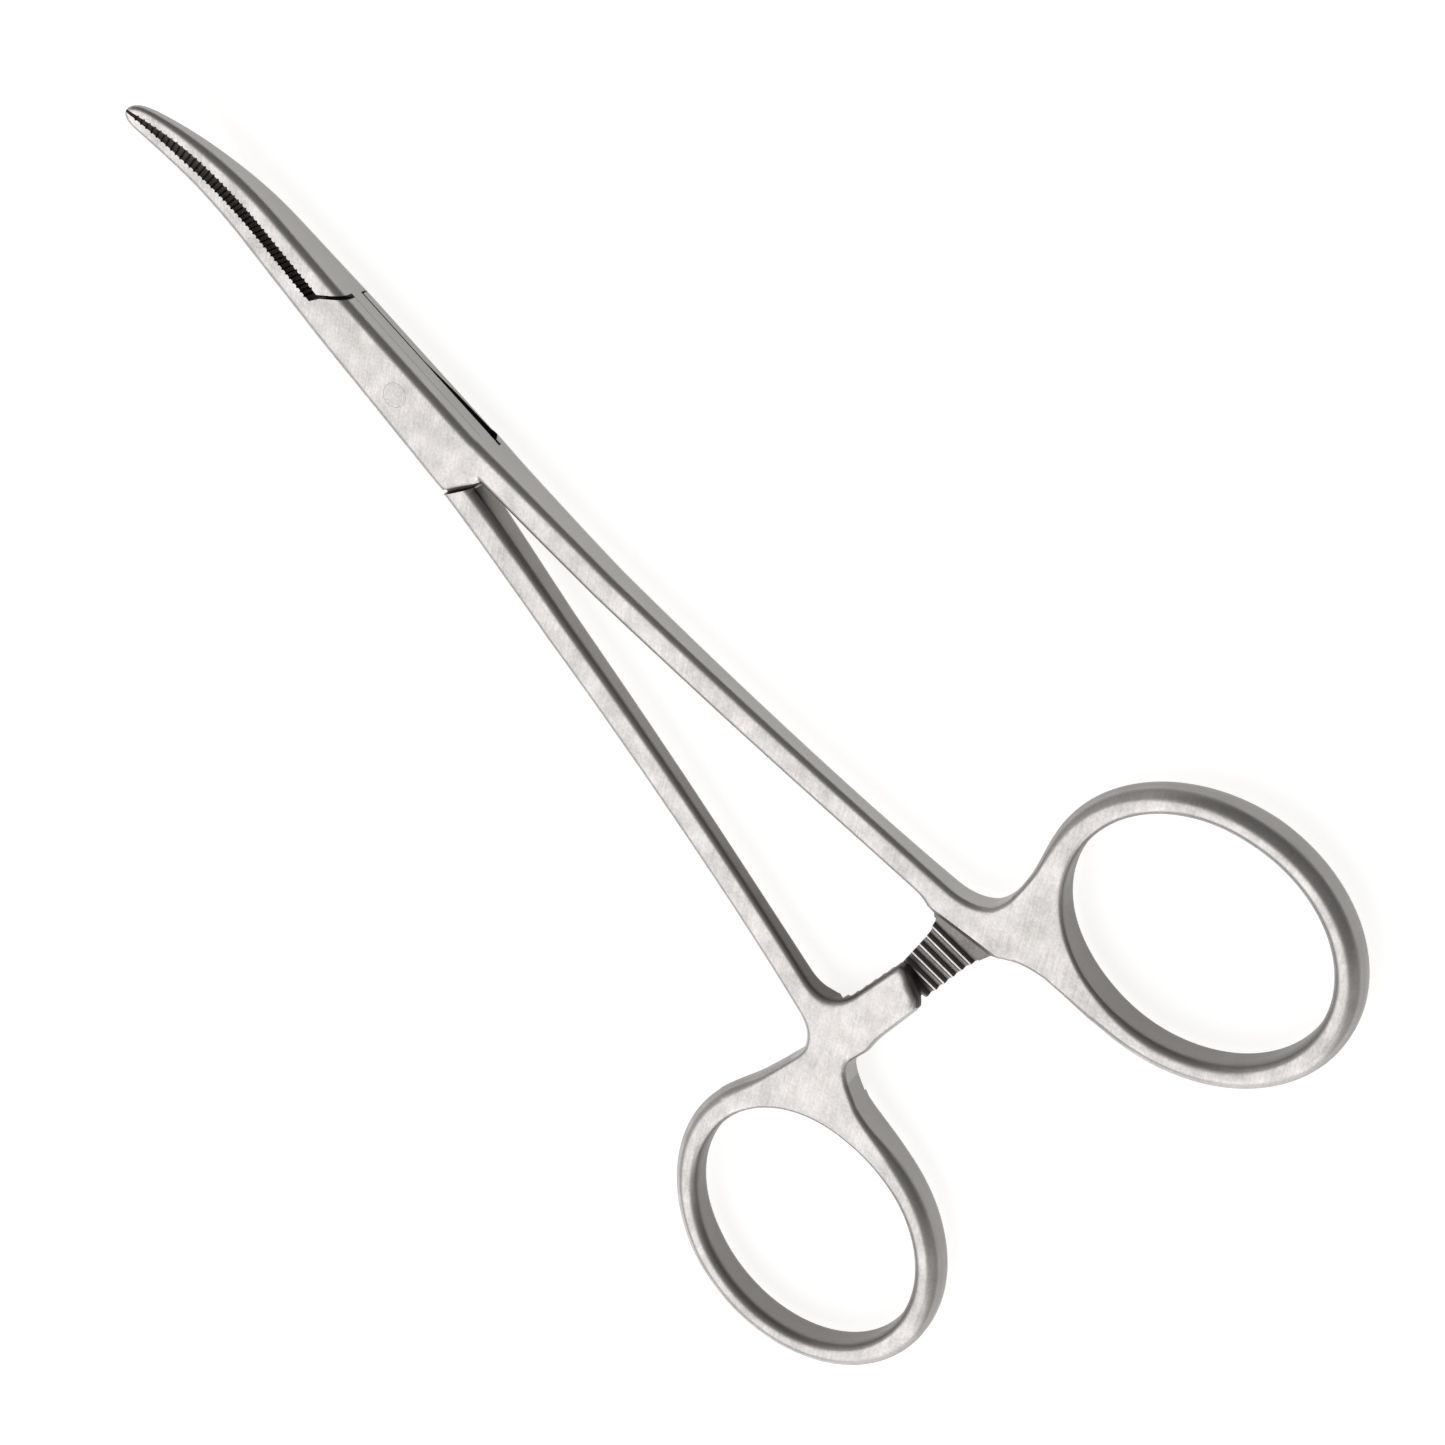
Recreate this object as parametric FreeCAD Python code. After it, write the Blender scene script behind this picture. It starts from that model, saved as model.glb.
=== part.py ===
import FreeCAD, Part
import math
import os

# Curved mosquito artery forceps: two halves joined by a box lock, with finger
# rings and a ratchet.  Frame: the pivot axis is the Z axis, z = 0 is the
# underside of the box lock, the tips point to -X and the rings to +X.
# Sizes are in millimetres.  "side" is 1 for the box half, whose ring is on +Y
# and whose jaw is on -Y, and -1 for the tenon half.

Vector = FreeCAD.Vector
BOX_SIDE = 1
TENON_SIDE = -1

# Levels
MID_Z = 2.0                   # middle plane of the instrument
TOOL_REACH = 12.0             # how far cutting tools pass the body
SIDE_VIEW_REACH = 60.0        # the side view is cut this far to both sides

# Box lock
BOX_THICKNESS = 2 * MID_Z     # the thickest and lowest place
BOX_INNER_X = 10.35           # inner corner of each slanted box end
BOX_OUTER_X = 8.45            # outer corner of each slanted box end
BOX_FLAT_X = 7.0              # the top is flat between -7 and 7
BOX_FRONT_HALF_WIDTH = 2.45   # at the jaw end
BOX_REAR_HALF_WIDTH = 3.10    # at the shank end
SHOULDER_GAP = 0.80           # between a box end and the tenon half's shoulder
SLOT_HEIGHT = 1.36
TENON_HEIGHT = 1.24
SLOT_RADIUS = 9.60            # the slot's end walls are arcs about the pivot
TENON_RADIUS = 9.50

# Pivot pin, riveted in both cheeks of the box and free in the tenon
PIN_RADIUS = 1.10
PIN_CLEARANCE = 0.03

# Jaws: straight from the box, then bent up about a centre above them
TIP_X = -32.9
BEND_X = -17.7
BEND_RADIUS = 28.0
JAW_HALF_WIDTHS = ((-18.0, 2.25), (-25.5, 1.85), (-31.0, 1.25))
JAW_THICKNESSES = ((-12.5, 3.65), (-18.0, 3.2), (-23.0, 2.55), (-28.0, 1.75), (TIP_X, 0.9))
MATING_GAP = 0.50             # the jaws stand back this far from the middle
CLOSING_X = -27.5             # from here to the tip the gap closes
TIP_GAP = 0.10
TIP_HALF_WIDTH = 0.75
TIP_ROUND = 0.45
JAW_EDGE_RADIUS = 0.35
SERRATION_START_X = -11.5
SERRATION_PITCH = 0.50
SERRATION_COUNT = 42
SERRATION_DEPTH = 0.12

# Shanks: bowed strips that spread from the box to the rings
RING_AXIS_Y = -0.50           # the rings mirror about this line, beside the pivot
AXIS_SETTLED_X = 24.0         # the shanks' middle line leaves the pivot and settles here
SHANK_START_X = 8.0
SHANK_END_X = 68.0
SHANK_START_SPREAD = 1.72     # centre line, from the shared axis
SHANK_SLOPE = 0.0692
SHANK_BOW = 0.000866          # growth of the slope, per millimetre
SHANK_START_HALF_WIDTH = 1.35
SHANK_END_HALF_WIDTH = 1.10
SHANK_THICKNESSES = ((12.0, 3.5), (23.0, 2.75), (37.0, 2.35), (52.0, 2.15), (63.0, 2.45))
SHANK_EDGE_RADIUS = 0.50

# Finger rings
RING_CENTRE_X = 77.80
RING_SPREAD = 24.87
RING_LONG = 13.10             # semi-axes of the band's centre line
RING_SHORT = 11.35
RING_SPLAY = 14.40            # degrees, the long axis turns outward
RING_BAND = 2.50
RING_THICKNESS = 3.40
RING_FLAT_X = 74.0            # from here on the thickness is even
RING_EDGE_RADIUS = 0.90

# Web between shank and ring: (x, distance from the shared axis) of its outline
WEB_START = (60.5, 8.5)       # inside the shank
WEB_NOTCH = ((63.0, 9.3), (66.0, 12.2), (66.1, 17.2))
WEB_RING_CORNERS = ((80.0, 15.0), (81.5, 13.6))
WEB_INNER = ((81.5, 13.6), (74.0, 12.2), (67.2, 9.7))

# Ratchet: the bars of the two halves pass over each other
BAR_FRONT_X = 64.2
BAR_REAR_X = 68.3
BAR_END = 1.05                # middle of the bar's end, past the shared axis
BAR_END_SLANT = 0.65
BAR_ROOT = 9.4                # the bar ends inside the shank
BAR_HALF_THICKNESS = 1.25
BAR_LEVEL_GAP = 0.12          # between the tooth tips of the two bars
TOOTH_PITCH = 1.10
TOOTH_DEPTH = 0.45
TOOTH_COUNT = 7
SLOPE_TOP = 8.8               # the plain slope from the teeth up to the shank


def upright(face, low, high):
    """Extrude a face in the XY plane from z = low to z = high."""
    solid = face.extrude(Vector(0, 0, high - low))
    solid.translate(Vector(0, 0, low))
    return solid


def through(face):
    """A tool of this plan that passes through the whole body."""
    return upright(face, MID_Z - TOOL_REACH, MID_Z + TOOL_REACH)


def polygon(points):
    return Part.Face(Part.makePolygon(points + [points[0]]))


def spline(points):
    curve = Part.BSplineCurve()
    curve.interpolate(points)
    return curve.toShape()


def from_axis(x, distance, side):
    """Plan point at a distance from the axis that the shanks and rings share."""
    return Vector(x, RING_AXIS_Y + side * distance, 0)


def jaw_rise(x):
    """Height of the jaw's centre line above the middle plane."""
    along = max(0.0, BEND_X - x)
    return BEND_RADIUS - math.sqrt(BEND_RADIUS ** 2 - along ** 2)


def surface_edges(face):
    """Top (face = 1) or bottom (face = -1) line of the side view, in the XZ plane."""
    def station(x, thickness):
        return Vector(x, -SIDE_VIEW_REACH, MID_Z + jaw_rise(x) + face * thickness / 2)

    jaws = [station(x, thickness) for x, thickness in JAW_THICKNESSES]
    shanks = [station(x, thickness) for x, thickness in SHANK_THICKNESSES]
    box_front = station(-BOX_FLAT_X, BOX_THICKNESS)
    box_rear = station(BOX_FLAT_X, BOX_THICKNESS)
    ring_start = station(RING_FLAT_X, RING_THICKNESS)
    ring_end = station(RING_CENTRE_X + 2 * RING_LONG, RING_THICKNESS)
    rear = Part.BSplineCurve()
    rear.interpolate(
        Points=[box_rear] + shanks + [ring_start],
        InitialTangent=Vector(1, 0, 0),
        FinalTangent=Vector(1, 0, 0),
    )
    return [
        spline(jaws[::-1] + [box_front]),
        Part.makeLine(box_front, box_rear),
        rear.toShape(),
        Part.makeLine(ring_start, ring_end),
    ]


def side_view():
    """Body with the instrument's side view, as deep as both rings."""
    top = surface_edges(1)
    bottom = surface_edges(-1)
    tip = Part.makeLine(top[0].firstVertex().Point, bottom[0].firstVertex().Point)
    end = Part.makeLine(top[-1].lastVertex().Point, bottom[-1].lastVertex().Point)
    outline = Part.Wire(Part.__sortEdges__(top + bottom + [tip, end]))
    return Part.Face(outline).extrude(Vector(0, 2 * SIDE_VIEW_REACH, 0))


def full_depth(face):
    """Body with this plan, between the top and bottom of the side view."""
    return through(face).common(side_view()).Solids[0]


def box_half_width(x):
    part_way = (x + BOX_INNER_X) / (2 * BOX_INNER_X)
    return BOX_FRONT_HALF_WIDTH + (BOX_REAR_HALF_WIDTH - BOX_FRONT_HALF_WIDTH) * part_way


def box_strip(reach):
    """Plan between the box's two sides, from x = -reach to reach."""
    return polygon([
        Vector(-reach, -box_half_width(-reach), 0),
        Vector(-reach, box_half_width(-reach), 0),
        Vector(reach, box_half_width(reach), 0),
        Vector(reach, -box_half_width(reach), 0),
    ])


def between_box_ends(shift):
    """Plan between the slanted box ends, which are moved outward by shift."""
    inner_x = BOX_INNER_X + shift
    run = BOX_INNER_X - BOX_OUTER_X
    front_rise = box_half_width(-BOX_OUTER_X) - MATING_GAP
    rear_rise = box_half_width(BOX_OUTER_X) + MATING_GAP
    front_x = -inner_x + (TOOL_REACH - MATING_GAP) * run / front_rise
    rear_x = inner_x - (TOOL_REACH + MATING_GAP) * run / rear_rise
    return polygon([
        Vector(-inner_x, -TOOL_REACH, 0),
        Vector(-inner_x, MATING_GAP, 0),
        Vector(front_x, TOOL_REACH, 0),
        Vector(inner_x, TOOL_REACH, 0),
        Vector(inner_x, MATING_GAP, 0),
        Vector(rear_x, -TOOL_REACH, 0),
    ])


def disc(radius):
    return Part.Face(Part.Wire([Part.makeCircle(radius)]))


def jaw_edges(side):
    """Plan edges of one jaw, from its root's outer corner round the tip to its inner one."""
    away = -side
    root_x = -BOX_FLAT_X
    root = Vector(root_x, away * box_half_width(root_x), 0)
    outer = [Vector(x, away * half_width, 0) for x, half_width in JAW_HALF_WIDTHS]
    shoulder = Vector(TIP_X + TIP_ROUND, away * TIP_HALF_WIDTH, 0)
    tip = Vector(TIP_X, away * TIP_GAP, 0)
    closing = Vector(CLOSING_X, away * MATING_GAP, 0)
    inner = Vector(-BOX_INNER_X, away * MATING_GAP, 0)
    return [
        spline([root] + outer + [shoulder]),
        Part.makeLine(shoulder, tip),
        Part.makeLine(tip, closing),
        Part.makeLine(closing, inner),
    ]


def rounded_front(edges, rest):
    """Full-depth front of a half, closed by the points in rest, with round outer edges."""
    start = edges[0].firstVertex().Point
    end = edges[-1].lastVertex().Point
    corners = [end] + rest + [start]
    closing = [Part.makeLine(a, b) for a, b in zip(corners, corners[1:])]
    body = full_depth(Part.Face(Part.Wire(edges + closing)))
    middle = 0.5 * (BOX_FRONT_HALF_WIDTH + MATING_GAP)
    outer_edges = [
        edge for edge in body.Edges
        if edge.BoundBox.XLength > BOX_FLAT_X and abs(edge.BoundBox.Center.y) > middle
    ]
    return body.makeFillet(JAW_EDGE_RADIUS, outer_edges)


def box_front():
    """Jaw and box of the box half in one, before the slot is cut."""
    rest = [
        Vector(-BOX_INNER_X, MATING_GAP, 0),
        Vector(-BOX_OUTER_X, box_half_width(-BOX_OUTER_X), 0),
        Vector(BOX_INNER_X, box_half_width(BOX_INNER_X), 0),
        Vector(BOX_INNER_X, MATING_GAP, 0),
        Vector(BOX_OUTER_X, -box_half_width(BOX_OUTER_X), 0),
    ]
    return rounded_front(jaw_edges(BOX_SIDE), rest)


def tenon_front():
    """Jaw of the tenon half; its root is thinned to the tenon later."""
    root = Vector(-BOX_FLAT_X, MATING_GAP, 0)
    return rounded_front(jaw_edges(TENON_SIDE), [root])


def serrations():
    """Upright V grooves across the mating faces of both jaws."""
    grooves = []
    half_pitch = SERRATION_PITCH / 2
    for index in range(SERRATION_COUNT):
        x = SERRATION_START_X - index * SERRATION_PITCH
        closed = max(0.0, (CLOSING_X - x) / (CLOSING_X - TIP_X))
        face_y = MATING_GAP + (TIP_GAP - MATING_GAP) * closed
        outline = polygon([
            Vector(x - half_pitch, 0, 0),
            Vector(x, face_y + SERRATION_DEPTH, 0),
            Vector(x + half_pitch, 0, 0),
            Vector(x, -face_y - SERRATION_DEPTH, 0),
        ])
        groove = through(outline)
        lean = math.degrees(math.asin(max(0.0, BEND_X - x) / BEND_RADIUS))
        groove.rotate(Vector(x, 0, MID_Z + jaw_rise(x)), Vector(0, 1, 0), lean)
        grooves.append(groove)
    return Part.makeCompound(grooves)


def shank_point(x, across, side):
    """Point of a shank: across is -1 on its inner edge and 1 on its outer edge."""
    spread = SHANK_START_SPREAD + SHANK_SLOPE * (x - SHANK_START_X)
    spread += SHANK_BOW * (x ** 2 - SHANK_START_X ** 2)
    part_way = (x - SHANK_START_X) / (SHANK_END_X - SHANK_START_X)
    growth = SHANK_END_HALF_WIDTH - SHANK_START_HALF_WIDTH
    half_width = SHANK_START_HALF_WIDTH + growth * part_way
    settling = (AXIS_SETTLED_X - x) / (AXIS_SETTLED_X - SHANK_START_X)
    shift = Vector(0, -RING_AXIS_Y * max(0.0, settling), 0)
    return from_axis(x, spread + across * half_width, side) + shift


def shank(side):
    middle_x = 0.5 * (AXIS_SETTLED_X + SHANK_END_X)
    stations = (SHANK_START_X, AXIS_SETTLED_X, middle_x, SHANK_END_X)
    outer = [shank_point(x, 1, side) for x in stations]
    inner = [shank_point(x, -1, side) for x in reversed(stations)]
    edges = [
        spline(outer),
        Part.makeLine(outer[-1], inner[0]),
        spline(inner),
        Part.makeLine(inner[-1], outer[0]),
    ]
    body = full_depth(Part.Face(Part.Wire(edges)))
    long_edges = [edge for edge in body.Edges if edge.BoundBox.XLength > 10]
    return body.makeFillet(SHANK_EDGE_RADIUS, long_edges)


def ring_outline(side, offset):
    """Ellipse of the ring, offset from the centre line of its band."""
    ellipse = Part.Ellipse(Vector(0, 0, 0), RING_LONG + offset, RING_SHORT + offset)
    face = Part.Face(Part.Wire([ellipse.toShape()]))
    face.rotate(Vector(0, 0, 0), Vector(0, 0, 1), side * RING_SPLAY)
    face.translate(from_axis(RING_CENTRE_X, RING_SPREAD, side))
    return face


def ring(side):
    low = MID_Z - RING_THICKNESS / 2
    high = MID_Z + RING_THICKNESS / 2
    band = ring_outline(side, RING_BAND / 2).cut(ring_outline(side, -RING_BAND / 2))
    body = upright(band, low, high).Solids[0]
    rims = [edge for edge in body.Edges if edge.BoundBox.ZLength < 0.1]
    return body.makeFillet(RING_EDGE_RADIUS, rims)


def web(side):
    """Fills the corner between shank and ring, with round notches on both sides."""
    start = from_axis(*WEB_START, side)
    notch = [from_axis(x, distance, side) for x, distance in WEB_NOTCH]
    corners = [from_axis(x, distance, side) for x, distance in WEB_RING_CORNERS]
    inner = [from_axis(x, distance, side) for x, distance in WEB_INNER]
    edges = [
        Part.makeLine(start, notch[0]),
        Part.Arc(*notch).toShape(),
        Part.makeLine(notch[-1], corners[0]),
        Part.makeLine(corners[0], corners[1]),
        Part.Arc(*inner).toShape(),
        Part.makeLine(inner[-1], start),
    ]
    body = full_depth(Part.Face(Part.Wire(edges)))
    return body.cut(through(ring_outline(side, -RING_BAND / 2 + RING_EDGE_RADIUS)))


def ratchet_bar(side):
    """Toothed bar: the box half's lies below and the tenon half's above the middle."""
    tips = -BAR_LEVEL_GAP / 2
    teeth_end = TOOTH_COUNT * TOOTH_PITCH - BAR_END
    outline = [(BAR_ROOT, tips), (BAR_ROOT, -BAR_HALF_THICKNESS)]
    outline.append((-BAR_END - BAR_END_SLANT, -BAR_HALF_THICKNESS))
    outline.append((-BAR_END - BAR_END_SLANT, tips))
    for index in range(TOOTH_COUNT):
        start = index * TOOTH_PITCH - BAR_END
        outline.append((start, tips))
        outline.append((start + 0.25 * TOOTH_PITCH, tips - TOOTH_DEPTH))
    outline.append((teeth_end, tips))
    points = [
        Vector(0, RING_AXIS_Y + side * distance, MID_Z + side * level)
        for distance, level in outline
    ]
    teeth = polygon(points).extrude(Vector(BAR_REAR_X, 0, 0))
    plan = polygon([
        from_axis(BAR_FRONT_X, -BAR_END - BAR_END_SLANT, side),
        from_axis(BAR_REAR_X, -BAR_END + BAR_END_SLANT, side),
        from_axis(BAR_REAR_X, BAR_ROOT, side),
        from_axis(BAR_FRONT_X, BAR_ROOT, side),
    ])
    return teeth.common(through(plan)).Solids[0]


def ratchet_slope(side):
    """Plain slope that leads from the teeth up to the shank's face."""
    teeth_end = TOOTH_COUNT * TOOTH_PITCH - BAR_END
    outline = [
        (teeth_end, -BAR_LEVEL_GAP / 2),
        (SLOPE_TOP, BAR_HALF_THICKNESS - 0.1),
        (BAR_ROOT, BAR_HALF_THICKNESS - 0.1),
        (BAR_ROOT, -BAR_LEVEL_GAP / 2),
    ]
    points = [
        Vector(BAR_FRONT_X, RING_AXIS_Y + side * distance, MID_Z + side * level)
        for distance, level in outline
    ]
    return polygon(points).extrude(Vector(BAR_REAR_X - BAR_FRONT_X, 0, 0))


def rear_pieces(side):
    return [shank(side), ring(side), web(side), ratchet_bar(side), ratchet_slope(side)]


def box_half():
    body = box_front().cut(serrations()).fuse(rear_pieces(BOX_SIDE))
    low = MID_Z - SLOT_HEIGHT / 2
    high = MID_Z + SLOT_HEIGHT / 2
    mouth = TOOL_REACH + MATING_GAP
    round_slot = upright(disc(SLOT_RADIUS), low, high)
    front_mouth = Part.makeBox(
        TOOL_REACH, mouth, SLOT_HEIGHT, Vector(-TOOL_REACH, -MATING_GAP, low))
    rear_mouth = Part.makeBox(
        TOOL_REACH, mouth, SLOT_HEIGHT, Vector(0, -TOOL_REACH, low))
    pin_hole = Part.makeCylinder(PIN_RADIUS, BOX_THICKNESS)
    return body.cut([round_slot, front_mouth, rear_mouth, pin_hole]).removeSplitter()


def tenon_half():
    low = MID_Z - TENON_HEIGHT / 2
    high = MID_Z + TENON_HEIGHT / 2
    body = tenon_front().cut(serrations()).fuse(rear_pieces(TENON_SIDE))
    lock_room = between_box_ends(SHOULDER_GAP)
    above = upright(lock_room, high, MID_Z + TOOL_REACH)
    below = upright(lock_room, MID_Z - TOOL_REACH, low)
    tenon = upright(disc(TENON_RADIUS).common(box_strip(TOOL_REACH)), low, high)
    bore = Part.makeCylinder(PIN_RADIUS + PIN_CLEARANCE, BOX_THICKNESS)
    return body.cut([above, below]).fuse(tenon).cut(bore).removeSplitter()


def pivot_pin():
    return Part.makeCylinder(PIN_RADIUS, BOX_THICKNESS)


os.makedirs("parts", exist_ok=True)
for name, make in (
    ("box_half", box_half),
    ("tenon_half", tenon_half),
    ("pivot_pin", pivot_pin),
):
    shape = make()
    shape.exportStep("parts/" + name + ".step")
    print(name, len(shape.Solids), "solid, valid:", shape.isValid(), shape.BoundBox)
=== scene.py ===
import math

import bpy
import numpy as np
from mathutils import Matrix, Vector

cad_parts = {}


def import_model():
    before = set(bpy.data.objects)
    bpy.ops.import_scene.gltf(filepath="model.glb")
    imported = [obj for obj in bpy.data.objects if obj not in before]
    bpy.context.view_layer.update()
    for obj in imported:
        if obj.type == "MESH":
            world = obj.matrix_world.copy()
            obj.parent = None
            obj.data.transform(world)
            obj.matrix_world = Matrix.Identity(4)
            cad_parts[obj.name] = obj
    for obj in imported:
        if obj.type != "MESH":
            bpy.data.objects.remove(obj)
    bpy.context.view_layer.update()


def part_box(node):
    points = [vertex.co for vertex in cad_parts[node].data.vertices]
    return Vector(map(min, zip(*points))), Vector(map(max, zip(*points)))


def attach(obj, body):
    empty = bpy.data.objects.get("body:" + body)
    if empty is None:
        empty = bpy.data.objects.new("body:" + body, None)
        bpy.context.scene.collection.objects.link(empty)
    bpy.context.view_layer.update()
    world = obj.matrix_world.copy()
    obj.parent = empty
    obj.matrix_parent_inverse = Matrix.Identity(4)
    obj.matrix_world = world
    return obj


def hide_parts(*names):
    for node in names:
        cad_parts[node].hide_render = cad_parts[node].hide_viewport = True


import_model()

# Looks of a pair of curved mosquito artery forceps.  The frame is the CAD
# part's: the pivot axis is Z, the tips point to -X and the rings to +X.  Shapes
# are worked out in millimetres and turned into metres when a mesh is made.
# "side" is 1 for the box half, whose ring is on +Y, and -1 for the tenon half.

MM = 0.001
BOX_SIDE = 1
TENON_SIDE = -1

# Sizes read from the frame
PIN_LOW, PIN_HIGH = (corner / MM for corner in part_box("pivot_pin"))
HALF_LOW, HALF_HIGH = (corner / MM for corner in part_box("box_half"))
PIN_RADIUS = (PIN_HIGH.x - PIN_LOW.x) / 2
BOX_THICKNESS = PIN_HIGH.z - PIN_LOW.z
MID_Z = (PIN_HIGH.z + PIN_LOW.z) / 2
TIP_X = HALF_LOW.x
REACH = 30.0                  # cutting tools reach this far from the middle
PAST_TIP = 5.0                # and this far beyond the tips

# Box lock
BOX_INNER_X = 10.35           # inner corner of each slanted box end
BOX_OUTER_X = 8.45            # outer corner of each slanted box end
BOX_FRONT_HALF_WIDTH = 2.50
BOX_REAR_HALF_WIDTH = 3.15
SHOULDER_GAP = 0.45           # beside the upper cheek
LOWER_SHOULDER_GAP = 0.20
SLOT_HEIGHT = 1.36
TENON_ABOVE = 0.65            # the tenon's faces, from the middle plane
TENON_BELOW = 0.54
SLOT_RADIUS = 9.60            # the slot's end walls are arcs about the pivot
RELIEF = ((-1.0, 1.36), (3.0, 0.98), (8.1, 0.62), (8.5, 1.36))
RELIEF_Y = (1.6, 6.0)         # the relief is a wedge, (x, z), in the slot's lower lip
PIN_CLEARANCE = 0.03
PIN_EASE = 0.02               # on the pin's rims
MATING_GAP = 0.50             # the jaws stand back this far from the middle

# Jaws
BEND_X = -17.7
BEND_RADIUS = 28.0
TIP_THICKNESS = 0.9
CLOSING_X = -27.5             # from here to the tip the gap closes
TIP_GAP = 0.12
ROOT_SLANT = 0.55             # the jaw gap's end runs on into the box's slanted end
TIP_ROUND = 1.0
SERRATION_START_X = -11.5
SERRATION_PITCH = 0.50
SERRATION_COUNT = 42
SERRATION_DEPTH = 0.16
SERRATION_HALF_WIDTH = 0.45 * SERRATION_PITCH

# Shanks
RING_AXIS_Y = -0.50           # shanks and rings mirror about this line
AXIS_SETTLED_X = 24.0         # the line starts at the pivot and settles here
SHANK_START_X = 8.0
SHANK_END_X = 66.4
SHANK_START_SPREAD = 1.72     # centre line, from the shared axis
SHANK_SLOPE = 0.0692
SHANK_BOW = 0.000866          # growth of the slope, per millimetre
SHANK_START_HALF_WIDTH = 1.44
SHANK_END_HALF_WIDTH = 1.28

# Finger rings
RING_CENTRE_X = 77.80
RING_SPREAD = 24.87
RING_LONG = 13.10             # semi-axes of the band's middle line
RING_SHORT = 11.35
RING_SPLAY = math.radians(14.4)
RING_BAND = 2.50
INNER_LOW_RADIUS = 1.0        # lower edges on the inner side of the shanks

# Web between shank and ring: (x, distance) corners of its plan, on the front
# side from the ring to the shank, then on the inner side back to the ring
WEB = {
    BOX_SIDE: (
        (64.6, 22.5), (66.0, 15.5), (66.5, 12.0), (66.3, 9.5), (68.4, 9.2),
        (69.8, 10.7), (72.8, 11.8), (77.5, 12.6), (82.0, 14.5), (72.0, 20.0),
    ),
    TENON_SIDE: (
        (64.3, 22.5), (65.35, 15.5), (65.75, 12.0), (65.6, 9.5), (67.5, 9.2),
        (68.7, 10.7), (72.2, 12.1), (77.0, 12.9), (82.0, 14.7), (72.0, 20.0),
    ),
}
WEB_EASE = 0.3                # radius of the web's own corners
WEB_MIDDLE = (69.5, 13.5)

# Fillets between the parts of the plan
NOTCH_BLEND = {BOX_SIDE: 4.0, TENON_SIDE: 3.0}  # shank to web, in front
INNER_BLEND = 0.9             # the bar's rear edge to the web
RING_BLEND = 0.8              # web to ring
BAR_BLEND = 3.6               # shank to bar, on the inner side
LEAST_BLEND = 0.1

# Ratchet
BAR_FRONT_X = 64.0
BAR_REAR_X = 68.3
BAR_MIDDLE_X = (BAR_FRONT_X + BAR_REAR_X) / 2
BOX_BAR_ROOT_FRONT_X = BAR_FRONT_X - 0.5
BOX_BAR_TAPER = 1.45          # the front edge leans back this much in all
TENON_BAR_TAPER = 0.6
TENON_BAR_REAR_X = 68.6
TENON_BAR_HEEL = 0.8          # the rear edge steps forward this much at the root
TENON_BAR_HEEL_START = 7.0
TENON_BAR_ROUND = 0.85        # radius along the rear of the tenon half's bar
BAR_END = 1.05                # middle of the bar's end, past the shared axis
BAR_END_SLANT = 0.35          # the bar's end runs back this much per millimetre
BAR_ROOT = 9.4                # the bar starts inside the web
BAR_CORNER = 1.0
BAR_LEVEL_GAP = 0.12          # between the tooth crests of the two bars
TOOTH_START = 0.15            # the first crest stands back from the bar's end
TOOTH_PITCH = 1.10
TOOTH_DEPTH = 0.45
TOOTH_LAND = 0.17             # width of a crest
TOOTH_SLOPE = 0.18            # run of the slope down from a crest
TOOTH_FLOOR_END = 0.62        # the floor ends here, in parts of the pitch
TOOTH_COUNT = 7
LAST_LAND = 6.3               # no tooth has a bright crest beyond this distance
TOOTH_TURN = math.radians(5.7)
RAMP_TURN = {BOX_SIDE: math.radians(14.5), TENON_SIDE: math.radians(25)}
RAMP_TOP = {BOX_SIDE: 8.65, TENON_SIDE: 10.0}  # distance of its upper edge
RAMP_RUN = {BOX_SIDE: 1.25, TENON_SIDE: 3.5}

# How dark each kind of face is painted, from 0 (plain steel) to 1 (the dark cut colour)
# jaws, lock, ratchet teeth and ramp: partly a duller cut finish, partly painted shade
JAW_DARK = 0.90
LOCK_DARK = 0.78
TOOTH_DARK = 0.55
RAMP_DARK = 0.64
# painted shade only: ring walls, the tenon half's inner shank wall and its bar's end
# wall
RING_INNER_SHADE = 0.42
RING_OUTER_SHADE = 0.20
SHANK_WALL_SHADE = (0.35, 0.70)     # inner wall of the tenon half's shank, along it
BAR_TIP_SHADE = 0.85           # end wall of the tenon half's bar

# Fineness of the meshes
CELL = 0.18
RELAXING = 6
PIN_SEGMENTS = 96
SLOT_SEGMENTS = 360


# --- Numbers and curves -------------------------------------------------

def smooth_curve(knots):
    """Monotone curve through knots (x, value) in order of x, level beyond its ends."""
    x, y = np.array(knots, float).T
    secant = np.diff(y) / np.diff(x)
    slope = np.zeros(len(x))
    slope[0], slope[-1] = secant[0], secant[-1]
    same = secant[:-1] * secant[1:] > 0
    mean = 2 * secant[:-1] * secant[1:] / np.where(same, secant[:-1] + secant[1:], 1)
    slope[1:-1] = np.where(same, mean, 0)

    def at(place):
        q = np.clip(place, x[0], x[-1])
        i = np.clip(np.searchsorted(x, q) - 1, 0, len(x) - 2)
        span = x[i + 1] - x[i]
        s = (q - x[i]) / span
        rise = s * s * (3 - 2 * s)
        start = s * (1 - s) ** 2 * span * slope[i]
        end = s * s * (s - 1) * span * slope[i + 1]
        return y[i] * (1 - rise) + y[i + 1] * rise + start + end

    return at


def step(low, high, value):
    """0 on low's side, 1 on high's side, smooth between."""
    s = np.clip((value - low) / (high - low), 0, 1)
    return s * s * (3 - 2 * s)


def join(a, b, blend):
    """Union of two distances, with a fillet of about this size."""
    near = np.maximum(blend - np.abs(a - b), 0) / blend
    return np.minimum(a, b) - near * near * blend / 4


def meet(a, b, blend):
    """Intersection of two distances, with a rounded corner."""
    return -join(-a, -b, blend)


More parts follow.
